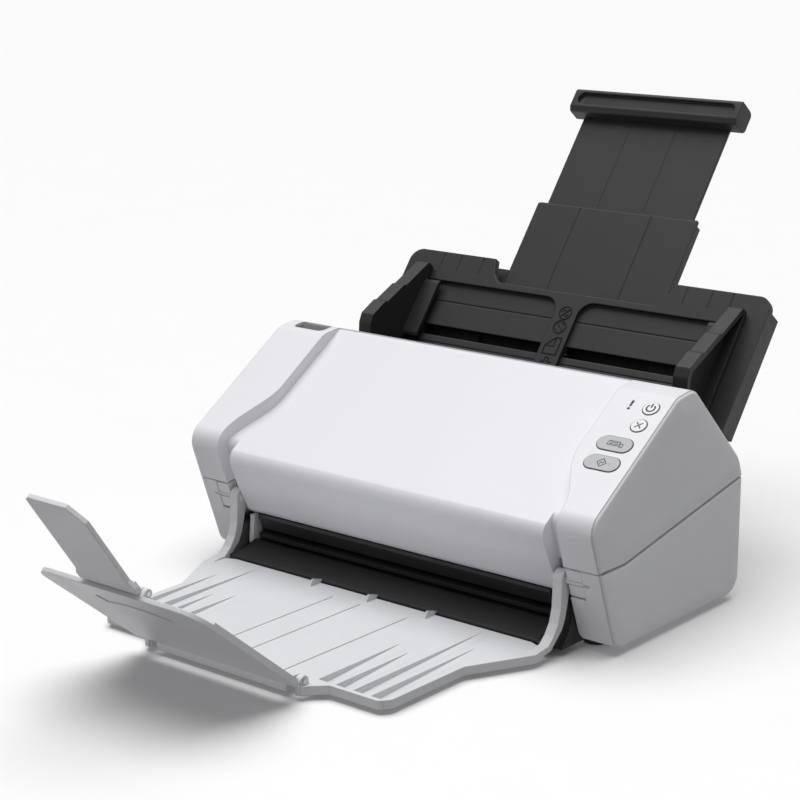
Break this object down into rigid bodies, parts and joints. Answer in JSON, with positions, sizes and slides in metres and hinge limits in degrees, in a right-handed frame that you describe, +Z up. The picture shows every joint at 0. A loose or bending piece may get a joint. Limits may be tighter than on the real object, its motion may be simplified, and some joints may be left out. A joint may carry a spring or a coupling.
{
  "type": "document scanner",
  "caption": "Upright sheet-fed document scanner with a leaning feed tray, sliding paper guides, hinged front cover and folding output tray with stoppers.",
  "frame": {"origin": "on the desk plane under the middle of the whole scanner with both trays open", "axes": "+Z up, -Y towards the user and the output tray, +X to the user's right"},
  "size_m": [0.3028, 0.541, 0.2766],
  "materials": {
    "case_white": "fine texture",
    "tray_white": "fine texture",
    "tray_black": "fine texture",
    "button_white": "satin",
    "button_grey": "satin",
    "black_plastic": "fine texture",
    "dark_plastic": "satin",
    "gear_plastic": "satin",
    "rubber": "matte",
    "pinch_plastic": "satin",
    "steel": "brushed",
    "brass": "turned",
    "board": "lacquered",
    "inlet_black": "satin",
    "scan_glass": "clear",
    "lamp": "diffuse"
  },
  "bodies": {
    "base": {"base_case": "case_white", "lower_panels": "case_white", "rear_cover": "case_white", "exit_ramp": "black_plastic", "lower_guide": "black_plastic", "lower_glass": "scan_glass", "lower_scan_bar": "dark_plastic", "roller_frames": "steel", "bushes": "gear_plastic", "motor": "steel", "main_board": "board", "power_inlet": "inlet_black", "usb_socket": "steel", "rubber_feet": "rubber", "case_screws": "steel", "front_hinge_pins": "steel", "tray_brackets": "black_plastic", "tray_pins": "steel", "latch_keepers": "steel"},
    "pick_roller": {"pick_shaft": "steel", "pick_tyres": "rubber", "pick_gear": "gear_plastic"},
    "drive_roller": {"drive_shaft": "steel", "drive_tyres": "rubber", "drive_gear": "gear_plastic"},
    "eject_roller": {"eject_shaft": "steel", "eject_tyres": "rubber", "eject_gear": "gear_plastic"},
    "idler_rear": {"idler_gear_rear": "gear_plastic"},
    "idler_front": {"idler_gear_front": "gear_plastic"},
    "motor_shaft": {"motor_pinion": "brass"},
    "front_cover": {"front_cover": "case_white", "upper_panels": "case_white", "hinge_tabs": "case_white", "inner_cover": "black_plastic", "upper_glass": "scan_glass", "upper_scan_bar": "dark_plastic", "button_board": "board", "status_lamp": "lamp"},
    "retard_roller": {"retard_roller": "rubber"},
    "rear_pinch": {"rear_pinch_rollers": "pinch_plastic"},
    "front_pinch": {"front_pinch_rollers": "pinch_plastic"},
    "power_button": {"power_button": "button_white"},
    "stop_button": {"stop_button": "button_white"},
    "upper_scan_button": {"upper_scan_button": "button_grey"},
    "lower_scan_button": {"lower_scan_button": "button_grey"},
    "release_lever": {"release_lever": "dark_plastic"},
    "feed_tray": {"feed_tray": "tray_black", "feed_tray_back": "tray_black"},
    "extension_1": {"extension_1": "tray_black"},
    "extension_2": {"extension_2": "tray_black", "grip_bar": "tray_black"},
    "guide_right": {"guide_right": "tray_black"},
    "guide_left": {"guide_left": "tray_black"},
    "guide_pinion": {"guide_pinion": "gear_plastic"},
    "output_tray": {"output_tray": "tray_white", "stopper_pins": "steel"},
    "wide_stopper": {"wide_stopper": "tray_white", "flag_pin": "steel"},
    "narrow_stopper": {"narrow_stopper": "tray_white"}
  },
  "joints": [
    {"name": "output_tray_hinge", "type": "hinge", "parent": "base", "child": "output_tray", "pos_m": [0, -0.014, 0.0435], "axis": [1, 0, 0], "range_deg": [-80, 0]},
    {"name": "wide_stopper_hinge", "type": "hinge", "parent": "output_tray", "child": "wide_stopper", "pos_m": [0, -0.1542, 0.0102], "axis": [1, 0, 0], "range_deg": [-100, 0]},
    {"name": "narrow_stopper_hinge", "type": "hinge", "parent": "wide_stopper", "child": "narrow_stopper", "pos_m": [0, -0.22751, 0.06983], "axis": [1, 0, 0], "range_deg": [-160, 0]},
    {"name": "feed_tray_hinge", "type": "hinge", "parent": "base", "child": "feed_tray", "pos_m": [0, 0.114, 0.084], "axis": [-1, 0, 0], "range_deg": [-36, 0]},
    {"name": "extension_1_slide", "type": "slide", "parent": "feed_tray", "child": "extension_1", "axis": [0, 0.6088, 0.7934], "range_m": [-0.0623, 0]},
    {"name": "extension_2_slide", "type": "slide", "parent": "extension_1", "child": "extension_2", "axis": [0, 0.6088, 0.7934], "range_m": [-0.0548, 0]},
    {"name": "guide_right_slide", "type": "slide", "parent": "feed_tray", "child": "guide_right", "axis": [1, 0, 0], "range_m": [-0.08, 0]},
    {"name": "guide_left_slide", "type": "slide", "parent": "feed_tray", "child": "guide_left", "axis": [1, 0, 0], "range_m": [0, 0.0805]},
    {"name": "guide_pinion_spin", "type": "hinge", "parent": "feed_tray", "child": "guide_pinion", "pos_m": [0, 0.14854, 0.12361], "axis": [0, -0.7934, 0.6088], "range_deg": [0, 660]},
    {"name": "front_cover_hinge", "type": "hinge", "parent": "base", "child": "front_cover", "pos_m": [0, -0.014, 0.0435], "axis": [1, 0, 0], "range_deg": [0, 60]},
    {"name": "release_lever_hinge", "type": "hinge", "parent": "front_cover", "child": "release_lever", "pos_m": [0, 0.054, 0.127], "axis": [-1, 0, 0], "range_deg": [0, 6], "stiffness_Nm_per_rad": 0.3, "springref_deg": -5.73},
    {"name": "power_button_press", "type": "slide", "parent": "front_cover", "child": "power_button", "axis": [0, 0.549, -0.8358], "range_m": [0, 0.001], "stiffness_N_per_m": 400, "springref_m": -0.0005},
    {"name": "stop_button_press", "type": "slide", "parent": "front_cover", "child": "stop_button", "axis": [0, 0.549, -0.8358], "range_m": [0, 0.001], "stiffness_N_per_m": 400, "springref_m": -0.0005},
    {"name": "upper_scan_button_press", "type": "slide", "parent": "front_cover", "child": "upper_scan_button", "axis": [0, 0.549, -0.8358], "range_m": [0, 0.001], "stiffness_N_per_m": 400, "springref_m": -0.0005},
    {"name": "lower_scan_button_press", "type": "slide", "parent": "front_cover", "child": "lower_scan_button", "axis": [0, 0.549, -0.8358], "range_m": [0, 0.001], "stiffness_N_per_m": 400, "springref_m": -0.0005},
    {"name": "drive_spin", "type": "hinge", "parent": "base", "child": "drive_roller", "pos_m": [0, 0.0659, 0.0302], "axis": [1, 0, 0], "continuous": true},
    {"name": "pick_spin", "type": "hinge", "parent": "base", "child": "pick_roller", "pos_m": [0, 0.0987, 0.0524], "axis": [1, 0, 0], "continuous": true},
    {"name": "idler_rear_spin", "type": "hinge", "parent": "base", "child": "idler_rear", "pos_m": [0, 0.07812, 0.04747], "axis": [1, 0, 0], "continuous": true},
    {"name": "idler_front_spin", "type": "hinge", "parent": "base", "child": "idler_front", "pos_m": [0, 0.03574, 0.03032], "axis": [1, 0, 0], "continuous": true},
    {"name": "eject_spin", "type": "hinge", "parent": "base", "child": "eject_roller", "pos_m": [0, 0.0097, 0.0172], "axis": [1, 0, 0], "continuous": true},
    {"name": "motor_spin", "type": "hinge", "parent": "base", "child": "motor_shaft", "pos_m": [0, 0.07733, 0.01877], "axis": [1, 0, 0], "continuous": true},
    {"name": "retard_spin", "type": "hinge", "parent": "front_cover", "child": "retard_roller", "pos_m": [0, 0.0826, 0.0648], "axis": [1, 0, 0], "continuous": true},
    {"name": "rear_pinch_spin", "type": "hinge", "parent": "front_cover", "child": "rear_pinch", "pos_m": [0, 0.0622, 0.0451], "axis": [1, 0, 0], "continuous": true},
    {"name": "front_pinch_spin", "type": "hinge", "parent": "front_cover", "child": "front_pinch", "pos_m": [0, 0.0062, 0.0311], "axis": [1, 0, 0], "continuous": true}
  ],
  "couplings": [
    {"joint": "pick_spin", "follows": "drive_spin", "ratio": 1},
    {"joint": "idler_rear_spin", "follows": "drive_spin", "ratio": -0.90909},
    {"joint": "idler_front_spin", "follows": "drive_spin", "ratio": -0.5},
    {"joint": "eject_spin", "follows": "drive_spin", "ratio": 1.1111},
    {"joint": "motor_spin", "follows": "drive_spin", "ratio": -1.6667},
    {"joint": "guide_left_slide", "follows": "guide_right_slide", "ratio": -1},
    {"joint": "guide_pinion_spin", "follows": "guide_right_slide", "rad_per_m": -142.86}
  ]
}
